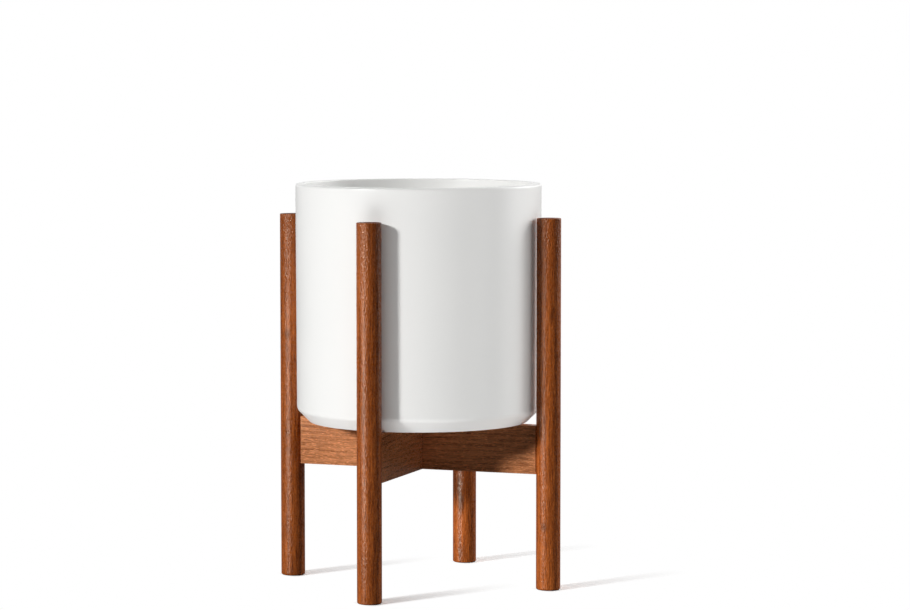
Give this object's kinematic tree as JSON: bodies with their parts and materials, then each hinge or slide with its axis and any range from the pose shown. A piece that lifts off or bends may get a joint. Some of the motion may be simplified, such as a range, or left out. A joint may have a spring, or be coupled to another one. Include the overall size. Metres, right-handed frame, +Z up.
{
  "type": "plant stand with planter pot",
  "caption": "Low wooden plant stand of round upright posts and half-lapped crossbars, carrying a white cylindrical planter pot that lifts out.",
  "frame": {"origin": "on the floor, under the middle of the stand, where its crossbars cross", "axes": "+Z up; the front post stands on -Y, the right post on +X, the back post on +Y and the left post on -X"},
  "size_m": [0.3078, 0.3078, 0.4147],
  "materials": {
    "post_wood": "satin lacquer over reddish brown stain",
    "bar_wood": "satin lacquer over reddish brown stain",
    "pin_wood": "bare fluted beech",
    "white_glaze": "satin white glaze",
    "plug_rubber": "matt moulded rubber"
  },
  "bodies": {
    "stand": {"post_front": "post_wood", "post_right": "post_wood", "post_back": "post_wood", "post_left": "post_wood", "crossbar_left_right": "bar_wood", "crossbar_front_back": "bar_wood", "pin_front_upper": "pin_wood", "pin_front_lower": "pin_wood", "pin_right_upper": "pin_wood", "pin_right_lower": "pin_wood", "pin_back_upper": "pin_wood", "pin_back_lower": "pin_wood", "pin_left_upper": "pin_wood", "pin_left_lower": "pin_wood"},
    "pot": {"planter_pot": "white_glaze"},
    "plug": {"drain_plug": "plug_rubber"}
  },
  "joints": [
    {"name": "pot_lift", "type": "slide", "parent": "stand", "child": "pot", "axis": [0, 0, 1], "range_m": [0, 0.225]},
    {"name": "plug_pull", "type": "slide", "parent": "pot", "child": "plug", "axis": [0, 0, 1], "range_m": [0, 0.03]}
  ]
}
